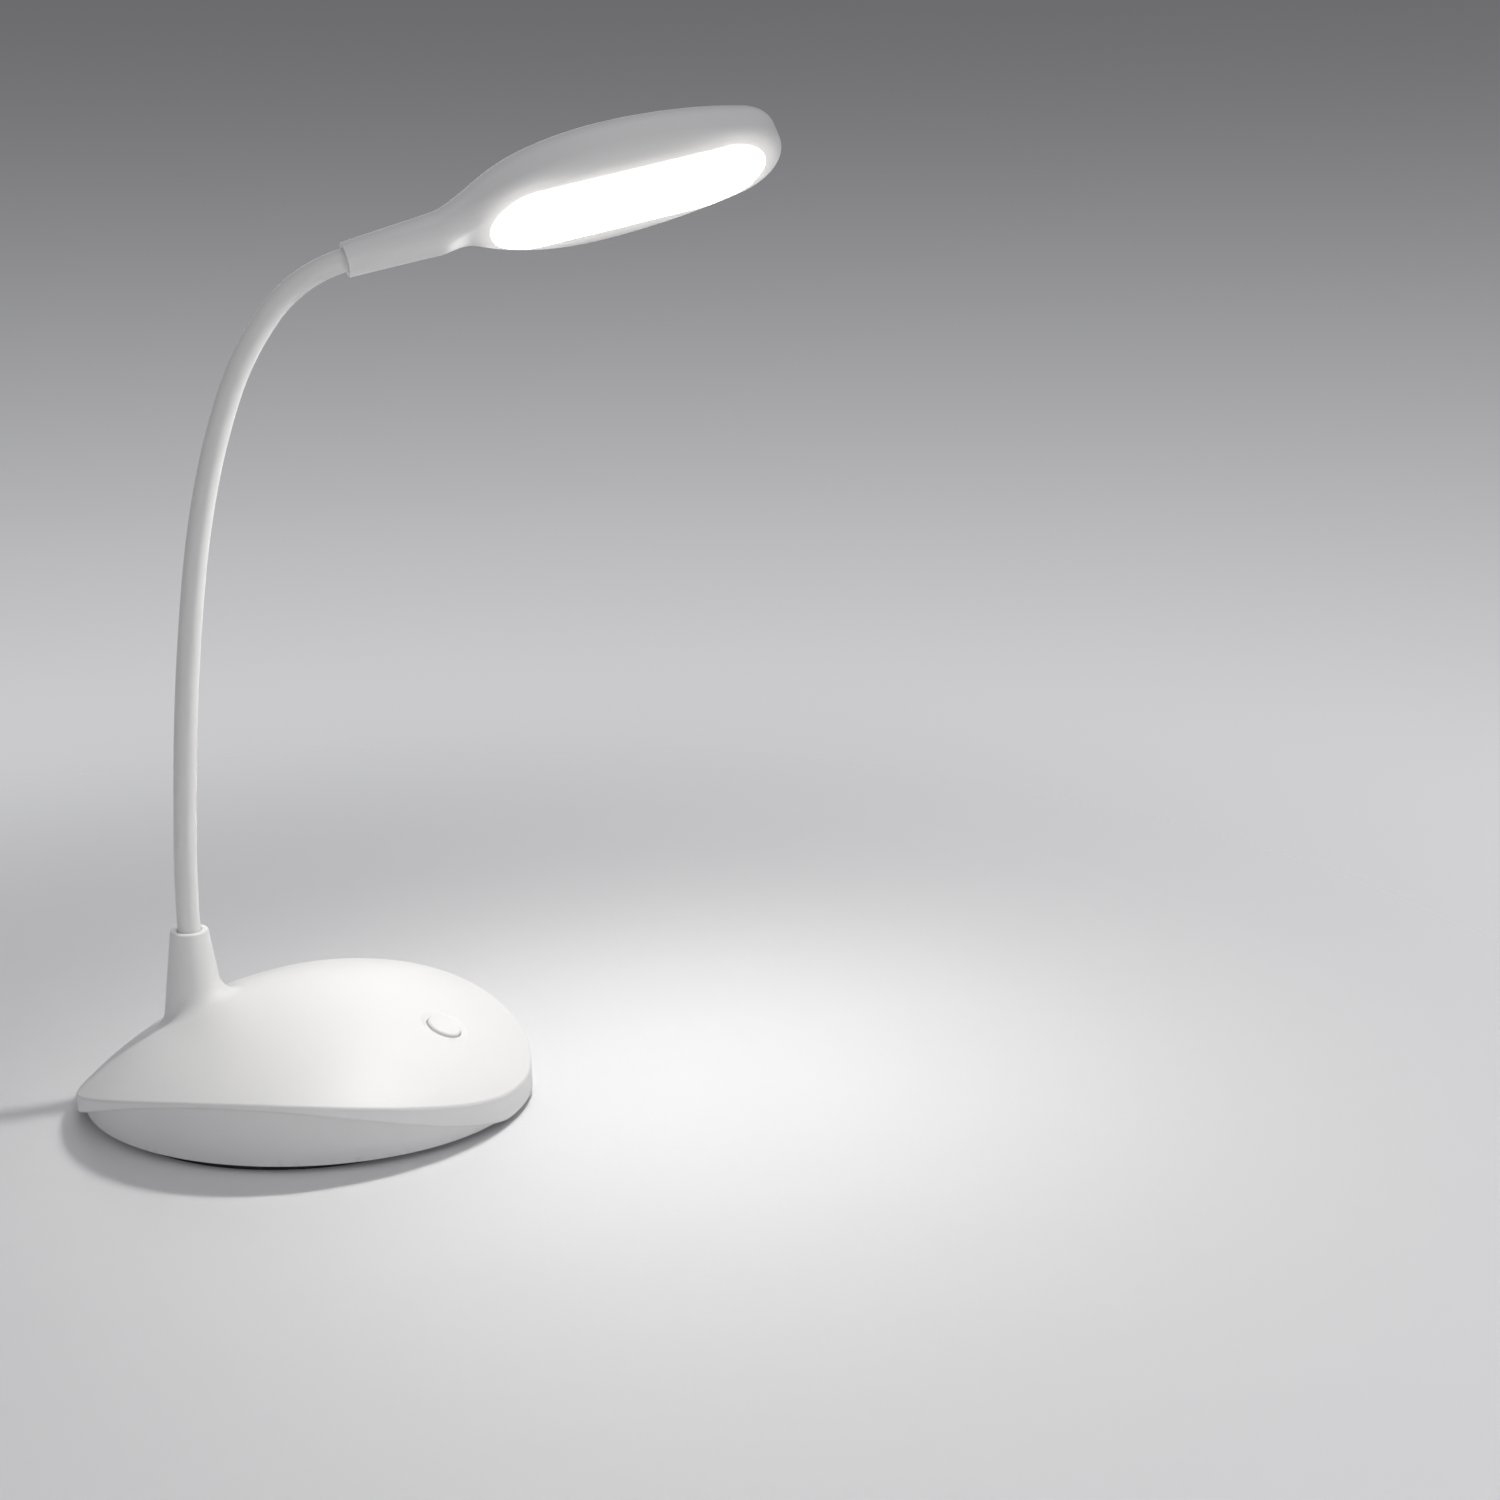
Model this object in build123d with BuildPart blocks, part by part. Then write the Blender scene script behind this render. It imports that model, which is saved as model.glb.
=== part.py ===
# Gooseneck LED desk lamp: oval base, flexible neck and flat oval head.
# Frame: origin under the middle of the base, on the table; X points from the neck to the key,
# Z points up. Lengths are in millimetres, angles in degrees.
from build123d import *
import math
import os

os.makedirs("parts", exist_ok=True)

# Driving dimensions of the base
base_length = 132.0
base_width = 115.0
cover_crest = 32.8
parting_crest = 20.0
rear_lip = 0.9
side_lip = 1.4
front_lip = 6.9
wall = 2.2

# Driving dimensions of the neck
socket_top = 49.1
sleeve_diameter = 6.5
link_length = 25.7
link_turns = (3.8, 1.0, 2.2, 2.0, 5.3, 7.2, 17.7, 36.9)
arm_heading = 31.8

# Driving dimensions of the head
head_width = 46.0
head_crown = 8.4
head_floor = 5.5
head_roll = -34.4
head_tilt = 2.7
head_lift = 2.1
collar_diameter = 9.6
window_length = 84.0
window_width = 30.0

# Clearances and small sizes shared by several pieces
seam = 0.2
fit = 0.15
running_gap = 0.3
screw_radius = 1.25
screw_head_radius = 2.4
screw_head_height = 1.0
post_radius = 3.4
thread_fit = 0.05
pilot_depth = 7.0
short_pilot_depth = 4.5

# Levels inside the base
pad_thickness = 3.0
pad_recess = 1.0
tray_bottom = pad_thickness - pad_recess
floor_top = pad_thickness + wall
foot_length_share = 0.975
foot_width_share = 0.925
shoulder_share = 0.985
pad_length_share = 0.85
pad_width_share = 0.89


# The base's two arches, seen from the side: the cover's passes through three heights, and the parting
# line's comes down to the tray's bottom a little short of both ends
def circle_through(first, second, third):
    """Centre and radius of the circle through three (x, z) points."""
    middle_a = (Vector(*first) + Vector(*second)) / 2
    middle_b = (Vector(*second) + Vector(*third)) / 2
    along_a = Vector(*second) - Vector(*first)
    along_b = Vector(*third) - Vector(*second)
    across = along_a.X * along_b.Y - along_a.Y * along_b.X
    reach = (along_b.dot(middle_b) - along_b.dot(middle_a)) / across
    centre = middle_a + Vector(-along_a.Y, along_a.X) * reach
    return centre, (centre - Vector(*first)).length


half_length = base_length / 2
half_width = base_width / 2
crest_x_share = 0.02
crest_x = base_length * crest_x_share
cover_ends = (
    (-half_length, tray_bottom + rear_lip),
    (crest_x, cover_crest),
    (half_length, tray_bottom + front_lip),
)
side_drop = cover_crest - parting_crest - side_lip
cover_cross_radius = (half_width**2 + side_drop**2) / (2 * side_drop)
cover_centre, cover_radius = circle_through(*cover_ends)
parting_reach_share = 0.936
parting_reach = half_length * parting_reach_share
parting_rise = parting_crest - tray_bottom
parting_radius = (parting_reach**2 + parting_rise**2) / (2 * parting_rise)
parting_centre = Vector(crest_x, parting_crest - parting_radius)


def arch_height(centre, radius, x):
    """Height of an arch at a distance x along the base."""
    return centre.Y + math.sqrt(radius**2 - (x - centre.X) ** 2)


def under_crown(inset, plan_inset):
    """The space above the tray's bottom, inside the oval plan and under the crown, both drawn in."""
    half_span = half_length + front_lip
    axis_height = cover_crest - cover_cross_radius
    left = axis_height - arch_height(cover_centre, cover_radius, -half_span) + inset
    right = axis_height - arch_height(cover_centre, cover_radius, half_span) + inset
    top = axis_height - arch_height(cover_centre, cover_radius, crest_x) + inset
    with BuildPart() as space:
        with BuildSketch(Plane.XZ):
            with BuildLine():
                crown = ThreePointArc(
                    (-half_span, axis_height + left),
                    (crest_x, axis_height + top),
                    (half_span, axis_height + right),
                )
                Polyline(crown @ 1, (half_span, axis_height), (-half_span, axis_height), crown @ 0)
            make_face()
        revolve(axis=Axis((0, 0, axis_height), (1, 0, 0)))
        with BuildSketch(Plane.XY.offset(tray_bottom)):
            Ellipse(half_length - plan_inset, half_width - plan_inset)
        extrude(amount=2 * cover_crest, mode=Mode.INTERSECT)
    return space.part


def under_parting(drop):
    """Everything below the arched parting line, lowered by a seam."""
    half_span = half_length + front_lip
    left = arch_height(parting_centre, parting_radius, -half_span) - drop
    right = arch_height(parting_centre, parting_radius, half_span) - drop
    with BuildPart() as space:
        with BuildSketch(Plane.XZ):
            with BuildLine():
                crest = (crest_x, parting_crest - drop)
                arch = ThreePointArc((-half_span, left), crest, (half_span, right))
                Polyline(arch @ 1, (half_span, -cover_crest), (-half_span, -cover_crest), arch @ 0)
            make_face()
        extrude(amount=base_width, both=True)
    return space.part


# The neck's axis in the base, and what holds it
neck_setback_share = 0.249
neck_x = -base_length * neck_setback_share
sleeve_radius = sleeve_diameter / 2
bore_radius = sleeve_radius + fit
socket_top_radius = 5.4
socket_foot_radius = 9.8
socket_blend_share = 0.0415
socket_blend = base_length * socket_blend_share
socket_root_depth = 9.0
socket_rim_round = 0.6
neck_surface = arch_height(cover_centre, cover_radius, neck_x)
neck_boss_radius = 8.0
neck_boss_depth = 3.6
neck_seat = neck_surface - wall - neck_boss_depth
ferrule_height = 3.4
retainer_thickness = 2.4
retainer_width = 11.0
retainer_length = 30.0
retainer_screw_y = 11.0
ferrule_foot = neck_seat - ferrule_height
retainer_foot = ferrule_foot - retainer_thickness

# The key's axis stands square to the cover's crown
key_x_share = 0.325
key_x = base_length * key_x_share
key_lean = math.degrees(math.asin((key_x - cover_centre.X) / cover_radius))
key_plane = Plane(
    origin=(key_x, 0, arch_height(cover_centre, cover_radius, key_x)),
    x_dir=(math.cos(math.radians(key_lean)), 0, -math.sin(math.radians(key_lean))),
    z_dir=(math.sin(math.radians(key_lean)), 0, math.cos(math.radians(key_lean))),
)
key_section = Plane(origin=key_plane.origin, x_dir=key_plane.x_dir, z_dir=-key_plane.y_dir)
key_radius = 5.0
key_flange_radius = 6.6
key_travel = 0.6
key_dish_radius = 8.4
key_dish_depth = 0.7
key_guide_depth = 3.4
key_flange_height = 1.2
key_stem_radius = 2.0
key_stem_end = 6.2
plunger_radius = 1.6
plunger_length = 2.0
switch_side = 6.2
switch_height = 3.4
switch_face = key_stem_end + key_travel + seam
board_thickness = 1.6
switch_board_face = switch_face + switch_height
switch_board_length = 12.0
switch_board_width = 26.0
switch_post_y = 10.0
switch_post_radius = 2.3

# Screw posts that draw the tray up to the cover
post_x_front_share = 0.60
post_y_front_share = 0.52
post_x_rear_share = 0.66
post_y_rear_share = 0.42
post_spots = [
    (half_length * post_x_front_share, half_width * post_y_front_share * side) for side in (1, -1)
] + [(-half_length * post_x_rear_share, half_width * post_y_rear_share * side) for side in (1, -1)]

# Base cover: crowned oval shell with the neck socket and the key's dish
flange_width = 7.0
rim_round = 1.0
cover_outside = under_crown(0, 0)
cover_inside = under_crown(wall, flange_width)
below_parting = under_parting(0)

with BuildPart() as cover_posts:
    with BuildSketch(Plane.XY.offset(floor_top)):
        with Locations(*post_spots):
            Circle(post_radius)
    extrude(amount=cover_crest)
    with BuildSketch(Plane.XY.offset(ferrule_foot)):
        with Locations((neck_x, retainer_screw_y), (neck_x, -retainer_screw_y)):
            Circle(post_radius)
    extrude(amount=cover_crest)
    with BuildSketch(Plane.XY.offset(neck_seat)):
        with Locations((neck_x, 0)):
            Circle(neck_boss_radius)
    extrude(amount=cover_crest)
    with BuildSketch(key_plane.offset(-switch_board_face)):
        with Locations((0, switch_post_y), (0, -switch_post_y)):
            Circle(switch_post_radius)
    extrude(amount=switch_board_face)
    with BuildSketch(key_plane.offset(-key_guide_depth)):
        Circle(key_dish_radius)
    extrude(amount=key_guide_depth)
    add(cover_inside, mode=Mode.INTERSECT)

with BuildPart() as base_cover:
    add(cover_outside)
    add(below_parting, mode=Mode.SUBTRACT)
    rim_edges = base_cover.faces().sort_by(Axis.Z)[-1].edges()
    fillet(rim_edges, rim_round)
    with BuildSketch(Plane.XZ):
        with BuildLine():
            Polyline(
                (neck_x, neck_surface - socket_root_depth),
                (neck_x + socket_foot_radius, neck_surface - socket_root_depth),
                (neck_x + socket_top_radius, socket_top),
                (neck_x, socket_top),
                close=True,
            )
        make_face()
    revolve(axis=Axis((neck_x, 0, 0), (0, 0, 1)))
    socket_root = base_cover.edges().filter_by(
        lambda edge: (edge.center() - Vector(neck_x, 0, neck_surface)).length < 2 * socket_foot_radius
        and edge.geom_type != GeomType.CIRCLE
    )
    fillet(socket_root.sort_by(SortBy.LENGTH)[-1], socket_blend)
    add(cover_inside, mode=Mode.SUBTRACT)
    add(cover_posts.part)
    with BuildSketch(Plane.XY):
        with Locations((neck_x, 0)):
            Circle(bore_radius)
    extrude(amount=socket_top, mode=Mode.SUBTRACT)
    fillet(base_cover.faces().sort_by(Axis.Z)[-1].edges(), socket_rim_round)
    with BuildSketch(key_section):
        with BuildLine():
            Polyline(
                (0, -switch_board_face),
                (key_radius + running_gap, -switch_board_face),
                (key_radius + running_gap, -key_dish_depth),
                (key_dish_radius, 0),
                (key_dish_radius, key_dish_depth),
                (0, key_dish_depth),
                close=True,
            )
        make_face()
    revolve(axis=Axis(key_plane.origin, key_plane.z_dir), mode=Mode.SUBTRACT)
    with BuildSketch(Plane.XY.offset(floor_top)):
        with Locations(*post_spots):
            Circle(screw_radius + thread_fit)
    extrude(amount=pilot_depth, mode=Mode.SUBTRACT)
    with BuildSketch(Plane.XY.offset(ferrule_foot)):
        with Locations((neck_x, retainer_screw_y), (neck_x, -retainer_screw_y)):
            Circle(screw_radius + thread_fit)
    extrude(amount=short_pilot_depth, mode=Mode.SUBTRACT)
    with BuildSketch(key_plane.offset(-switch_board_face)):
        with Locations((0, switch_post_y), (0, -switch_post_y)):
            Circle(screw_radius + thread_fit)
    extrude(amount=short_pilot_depth, mode=Mode.SUBTRACT)
base_cover.part.label = "base_cover"
export_step(base_cover.part, "parts/base_cover.step")


# Base tray: tapered oval lower shell, cut by the same arch as the cover
def tray_half_length(height):
    """Half length of the tray's outside at a height."""
    rise_share = (height - tray_bottom) / (parting_crest - tray_bottom)
    return half_length * (foot_length_share + (shoulder_share - foot_length_share) * rise_share)


def tray_half_width(height):
    """Half width of the tray's outside at a height."""
    rise_share = (height - tray_bottom) / (parting_crest - tray_bottom)
    return half_width * (foot_width_share + (shoulder_share - foot_width_share) * rise_share)


pad_half_length = half_length * pad_length_share
pad_half_width = half_width * pad_width_share
ballast_thickness = 4.0
ballast_x = crest_x
ballast_length_share = 0.235
ballast_half_length = base_length * ballast_length_share
ballast_fence = 1.2
ballast_fence_height = 2.0
standoff_height = 3.0
standoff_radius = 2.2
driver_board_length = 28.0
driver_board_width = 13.0
driver_board_gap = 2.0
driver_foot = floor_top + standoff_height
driver_far = tray_half_width(driver_foot) - wall - driver_board_gap
driver_y = driver_far - driver_board_width / 2
ballast_half_width = driver_far - driver_board_width - driver_board_gap
fence_half_length = ballast_half_length + running_gap
fence_half_width = ballast_half_width + running_gap
driver_post_x = 10.5
driver_post_y = driver_y - standoff_radius
inlet_width = 9.0
inlet_height = 3.2
inlet_depth = 7.3
inlet_recess = 1.0
inlet_foot = driver_foot + board_thickness
inlet_mouth = tray_half_width(inlet_foot + inlet_height / 2) - inlet_recess

with BuildPart() as base_tray:
    with BuildSketch(Plane.XY.offset(tray_bottom)):
        Ellipse(tray_half_length(tray_bottom), tray_half_width(tray_bottom))
    with BuildSketch(Plane.XY.offset(parting_crest)):
        Ellipse(tray_half_length(parting_crest), tray_half_width(parting_crest))
    loft(ruled=True)
    with BuildSketch(Plane.XY.offset(floor_top)):
        Ellipse(tray_half_length(floor_top) - wall, tray_half_width(floor_top) - wall)
    with BuildSketch(Plane.XY.offset(parting_crest)):
        Ellipse(tray_half_length(parting_crest) - wall, tray_half_width(parting_crest) - wall)
    loft(ruled=True, mode=Mode.SUBTRACT)
    add(under_parting(seam), mode=Mode.INTERSECT)
    with BuildSketch(Plane.XY.offset(tray_bottom)):
        Ellipse(pad_half_length + running_gap, pad_half_width + running_gap)
    extrude(amount=pad_recess, mode=Mode.SUBTRACT)
    with BuildSketch(Plane.XY.offset(floor_top)):
        with Locations((ballast_x, 0)):
            Ellipse(fence_half_length + ballast_fence, fence_half_width + ballast_fence)
            Ellipse(fence_half_length, fence_half_width, mode=Mode.SUBTRACT)
    extrude(amount=ballast_fence_height)
    with BuildSketch(Plane.XY.offset(floor_top)):
        with Locations((driver_post_x, driver_post_y), (-driver_post_x, driver_post_y)):
            Circle(standoff_radius)
            Circle(screw_radius + thread_fit, mode=Mode.SUBTRACT)
    extrude(amount=standoff_height)
    with BuildSketch(Plane.XY.offset(pad_thickness)):
        with Locations(*post_spots):
            Circle(screw_head_radius + running_gap)
    extrude(amount=screw_head_height, mode=Mode.SUBTRACT)
    with BuildSketch(Plane.XY.offset(pad_thickness)):
        with Locations(*post_spots):
            Circle(screw_radius + running_gap)
    extrude(amount=wall, mode=Mode.SUBTRACT)
    with BuildSketch(Plane.XZ.offset(-inlet_mouth)):
        with Locations((0, inlet_foot + inlet_height / 2)):
            mouth_width = inlet_width + 2 * running_gap
            mouth_height = inlet_height + 2 * running_gap
            RectangleRounded(mouth_width, mouth_height, inlet_height / 2)
    extrude(amount=2 * wall, both=True, mode=Mode.SUBTRACT)
base_tray.part.label = "base_tray"
export_step(base_tray.part, "parts/base_tray.step")

# Foot pad: one oval of dark rubber, let into the tray's underside
with BuildPart() as foot_pad:
    with BuildSketch(Plane.XY):
        Ellipse(pad_half_length, pad_half_width)
    extrude(amount=pad_thickness)
foot_pad.part.label = "foot_pad"
export_step(foot_pad.part, "parts/foot_pad.step")

# Base screws: four, up through the tray's floor into the cover's posts
with BuildPart() as base_screws:
    with BuildSketch(Plane.XY.offset(pad_thickness)):
        with Locations(*post_spots):
            Circle(screw_head_radius)
    extrude(amount=screw_head_height)
    with BuildSketch(Plane.XY.offset(pad_thickness + screw_head_height)):
        with Locations(*post_spots):
            Circle(screw_radius)
    extrude(amount=pilot_depth)
base_screws.part.label = "base_screws"
export_step(base_screws.part, "parts/base_screws.step")

# Ballast plate: steel, lying in the tray's fence
with BuildPart() as ballast_plate:
    with BuildSketch(Plane.XY.offset(floor_top)):
        with Locations((ballast_x, 0)):
            Ellipse(ballast_half_length, ballast_half_width)
    extrude(amount=ballast_thickness)
ballast_plate.part.label = "ballast_plate"
export_step(ballast_plate.part, "parts/ballast_plate.step")

# Battery cell: flat lithium pouch, stuck to the ballast plate
cell_length_share = 0.30
cell_width_share = 0.31
cell_thickness = 7.0
cell_round = 1.5
with BuildPart() as battery_cell:
    with BuildSketch(Plane.XY.offset(floor_top + ballast_thickness)):
        with Locations((ballast_x, 0)):
            RectangleRounded(base_length * cell_length_share, base_width * cell_width_share, cell_round)
    extrude(amount=cell_thickness)
    fillet(battery_cell.faces().sort_by(Axis.Z)[-1].edges(), cell_round)
battery_cell.part.label = "battery_cell"
export_step(battery_cell.part, "parts/battery_cell.step")

# Driver board: charging and dimming electronics, on the tray's standoffs
with BuildPart() as driver_board:
    with BuildSketch(Plane.XY.offset(driver_foot)):
        with Locations((0, driver_y)):
            Rectangle(driver_board_length, driver_board_width)
        with Locations((driver_post_x, driver_post_y), (-driver_post_x, driver_post_y)):
            Circle(screw_radius + running_gap, mode=Mode.SUBTRACT)
    extrude(amount=board_thickness)
driver_board.part.label = "driver_board"
export_step(driver_board.part, "parts/driver_board.step")

# Charging socket: a drawn steel shell with its contact tongue, facing out through the tray's wall
inlet_skin = 0.35
inlet_back = 1.6
tongue_thickness = 0.7
tongue_setback = 0.8
with BuildPart() as charging_socket:
    with BuildSketch(Plane.XZ.offset(-inlet_mouth)):
        with Locations((0, inlet_foot + inlet_height / 2)):
            RectangleRounded(inlet_width, inlet_height, inlet_height / 3)
    extrude(amount=inlet_depth)
    with BuildSketch(Plane.XZ.offset(-inlet_mouth)):
        with Locations((0, inlet_foot + inlet_height / 2)):
            RectangleRounded(inlet_width - 2 * inlet_skin, inlet_height - 2 * inlet_skin, inlet_height / 4)
    extrude(amount=inlet_depth - inlet_back, mode=Mode.SUBTRACT)
    with BuildSketch(Plane.XZ.offset(-inlet_mouth + tongue_setback)):
        with Locations((0, inlet_foot + inlet_height / 2)):
            Rectangle(inlet_width - inlet_height, tongue_thickness)
    extrude(amount=inlet_depth - tongue_setback)
charging_socket.part.label = "charging_socket"
export_step(charging_socket.part, "parts/charging_socket.step")

# Switch board: hung under the cover's two posts, square to the key
with BuildPart() as switch_board:
    with BuildSketch(key_plane.offset(-switch_board_face - board_thickness)):
        Rectangle(switch_board_length, switch_board_width)
        with Locations((0, switch_post_y), (0, -switch_post_y)):
            Circle(screw_radius + running_gap, mode=Mode.SUBTRACT)
    extrude(amount=board_thickness)
switch_board.part.label = "switch_board"
export_step(switch_board.part, "parts/switch_board.step")

# Board screws: four alike, two under the switch board and two on the driver board
board_screw_reach = board_thickness + short_pilot_depth - seam
driver_screw_reach = board_thickness + standoff_height - seam
with BuildPart() as board_screws:
    with BuildSketch(key_plane.offset(-switch_board_face - board_thickness - screw_head_height)):
        with Locations((0, switch_post_y), (0, -switch_post_y)):
            Circle(screw_head_radius)
    extrude(amount=screw_head_height)
    with BuildSketch(key_plane.offset(-switch_board_face - board_thickness)):
        with Locations((0, switch_post_y), (0, -switch_post_y)):
            Circle(screw_radius)
    extrude(amount=board_screw_reach)
    with BuildSketch(Plane.XY.offset(driver_foot + board_thickness - driver_screw_reach)):
        with Locations((driver_post_x, driver_post_y), (-driver_post_x, driver_post_y)):
            Circle(screw_radius)
    extrude(amount=driver_screw_reach)
    with BuildSketch(Plane.XY.offset(driver_foot + board_thickness)):
        with Locations((driver_post_x, driver_post_y), (-driver_post_x, driver_post_y)):
            Circle(screw_head_radius)
    extrude(amount=screw_head_height)
board_screws.part.label = "board_screws"
export_step(board_screws.part, "parts/board_screws.step")

# Tact switch: square body on the switch board, open at the top for its plunger
with BuildPart() as tact_switch:
    with BuildSketch(key_plane.offset(-switch_board_face)):
        Rectangle(switch_side, switch_side)
    extrude(amount=switch_height)
    with BuildSketch(key_plane.offset(-switch_face)):
        Circle(plunger_radius + fit)
    extrude(amount=-plunger_length - seam, mode=Mode.SUBTRACT)
tact_switch.part.label = "tact_switch"
export_step(tact_switch.part, "parts/tact_switch.step")

# Switch plunger: the moving pin that the key's stem stands on
with BuildPart() as switch_plunger:
    with BuildSketch(key_plane.offset(-key_stem_end - plunger_length)):
        Circle(plunger_radius)
    extrude(amount=plunger_length)
switch_plunger.part.label = "switch_plunger"
export_step(switch_plunger.part, "parts/switch_plunger.step")

# Power key: round cap with a flange that keeps it under the cover, and a stem
key_top = 0.3
key_edge_round = 0.7
key_flange_top = key_guide_depth + running_gap
with BuildPart() as power_key:
    with BuildSketch(key_section):
        with BuildLine():
            Polyline(
                (0, -key_stem_end),
                (key_stem_radius, -key_stem_end),
                (key_stem_radius, -key_flange_top - key_flange_height),
                (key_flange_radius, -key_flange_top - key_flange_height),
                (key_flange_radius, -key_flange_top),
                (key_radius, -key_flange_top),
                (key_radius, key_top),
                (0, key_top),
                close=True,
            )
        make_face()
    revolve(axis=Axis(key_plane.origin, key_plane.z_dir))
    cap_edge = power_key.faces().sort_by(Axis(key_plane.origin, key_plane.z_dir))[-1].edges()
    fillet(cap_edge, key_edge_round)
power_key.part.label = "power_key"
export_step(power_key.part, "parts/power_key.step")

# Neck: eight short links of sleeve, core and leads, bending in one upright plane.
# Each link ends in a ball, and the next one starts with a cup that turns round it.
heading_angle = math.radians(arm_heading)
arm_direction = Vector(math.cos(heading_angle), math.sin(heading_angle), 0)
arm_side = Vector(-math.sin(heading_angle), math.cos(heading_angle), 0)
arm_plane = Plane(origin=(neck_x, 0, 0), x_dir=arm_direction, z_dir=-arm_side)
layer_gap = 0.1
core_radius_share = 0.72
core_bore_share = 0.46
core_radius = sleeve_radius * core_radius_share
core_bore = sleeve_radius * core_bore_share
lead_radius_share = 0.4
lead_radius = core_bore * lead_radius_share
lead_offset = core_bore / 2
cup_radius = sleeve_radius + running_gap
link_numbers = range(1, len(link_turns) + 1)

stations = [(0.0, socket_top, 0.0)]
for turn in link_turns:
    reach, height, lean = stations[-1]
    half_turn = math.radians(turn / 2)
    chord = link_length * (math.sin(half_turn) / half_turn if turn else 1)
    reach += chord * math.sin(math.radians(lean) + half_turn)
    height += chord * math.cos(math.radians(lean) + half_turn)
    stations.append((reach, height, lean + turn))


def station_plane(index):
    """Plane square to the neck at a station, with its Z along the neck."""
    reach, height, lean = stations[index]
    ahead = arm_direction * math.sin(math.radians(lean)) + Vector(0, 0, math.cos(math.radians(lean)))
    return Plane(origin=arm_plane.from_local_coords((reach, height, 0)), x_dir=arm_side, z_dir=ahead)


def link_route(number, foot, tail):
    """The middle line of a link, from the base's foot level or its cup, with any tail into the head."""
    reach, height, lean = stations[number - 1]
    turn = link_turns[number - 1]
    ahead = (math.sin(math.radians(lean)), math.cos(math.radians(lean)))
    with BuildLine(arm_plane) as route:
        if number == 1:
            Line((reach, foot), (reach, height))
        if turn:
            JernArc((reach, height), ahead, link_length / math.radians(turn), -turn)
        else:
            Line((reach, height), (reach, height + link_length))
        if number == len(link_turns):
            end_reach, end_height, end_lean = stations[number]
            along = (math.sin(math.radians(end_lean)), math.cos(math.radians(end_lean)))
            Line((end_reach, end_height), (end_reach + tail * along[0], end_height + tail * along[1]))
    return route.wire()


def neck_tube(number, outer, inner, foot, tail):
    """One tubular layer of a link, domed at the ball and hollowed at the cup."""
    route = link_route(number, foot, tail)
    with BuildPart() as tube:
        with BuildSketch(Plane(origin=route @ 0, x_dir=arm_side, z_dir=route % 0)):
            Circle(outer)
            Circle(inner, mode=Mode.SUBTRACT)
        sweep(path=route)
        if number > 1:
            with Locations(station_plane(number - 1)):
                Sphere(cup_radius, mode=Mode.SUBTRACT)
        if number < len(link_turns):
            end = station_plane(number)
            outer_angle = math.acos(min(outer / sleeve_radius, 1))
            inner_angle = math.acos(inner / sleeve_radius)
            middle_angle = (outer_angle + inner_angle) / 2
            with BuildSketch(Plane(origin=end.origin, x_dir=end.x_dir, z_dir=-end.y_dir)):
                with BuildLine():
                    dome = ThreePointArc(
                        (outer, sleeve_radius * math.sin(outer_angle)),
                        (sleeve_radius * math.cos(middle_angle), sleeve_radius * math.sin(middle_angle)),
                        (inner, sleeve_radius * math.sin(inner_angle)),
                    )
                    if outer < sleeve_radius:
                        Line((outer, 0), dome @ 0)
                    Polyline(dome @ 1, (inner, 0), (outer, 0))
                make_face()
            revolve(axis=Axis(end.origin, end.z_dir))
    return tube.part


def neck_leads(number, foot, tail):
    """The pair of wires inside a link, from its cup to its ball."""
    route = link_route(number, foot, tail)
    with BuildPart() as pair:
        with BuildSketch(Plane(origin=route @ 0, x_dir=arm_side, z_dir=route % 0)):
            with Locations((lead_offset, 0), (-lead_offset, 0)):
                Circle(lead_radius)
        sweep(path=route)
        if number > 1:
            with Locations(station_plane(number - 1)):
                Sphere(cup_radius, mode=Mode.SUBTRACT)
        if number < len(link_turns):
            nose = math.sqrt(sleeve_radius**2 - core_bore**2)
            with BuildSketch(station_plane(number)):
                with Locations((lead_offset, 0), (-lead_offset, 0)):
                    Circle(lead_radius)
            extrude(amount=nose)
    return pair.part


# How far each layer of the last link reaches into the head's collar
collar_reach = 28.1
sleeve_tail = 13.0
rib_thickness = 1.0
ferrule_length = 5.6
core_tail = sleeve_tail + rib_thickness + ferrule_length + 2 * seam
lead_tail = 38.5
lead_foot = retainer_foot - screw_head_height

for number in link_numbers:
    sleeve = neck_tube(number, sleeve_radius, core_radius + layer_gap, neck_seat, sleeve_tail)
    sleeve.label = f"neck_sleeve_{number}"
    export_step(sleeve, f"parts/neck_sleeve_{number}.step")
    core = neck_tube(number, core_radius, core_bore, ferrule_foot, core_tail)
    core.label = f"neck_core_{number}"
    export_step(core, f"parts/neck_core_{number}.step")
    leads = neck_leads(number, lead_foot, lead_tail)
    leads.label = f"neck_leads_{number}"
    export_step(leads, f"parts/neck_leads_{number}.step")

# Neck ferrule: crimped on the core's foot, under the cover's boss
ferrule_radius = 5.2
with BuildPart() as neck_ferrule:
    with BuildSketch(Plane.XY.offset(ferrule_foot)):
        with Locations((neck_x, 0)):
            Circle(ferrule_radius)
            Circle(core_radius + layer_gap, mode=Mode.SUBTRACT)
    extrude(amount=ferrule_height)
neck_ferrule.part.label = "neck_ferrule"
export_step(neck_ferrule.part, "parts/neck_ferrule.step")

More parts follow.
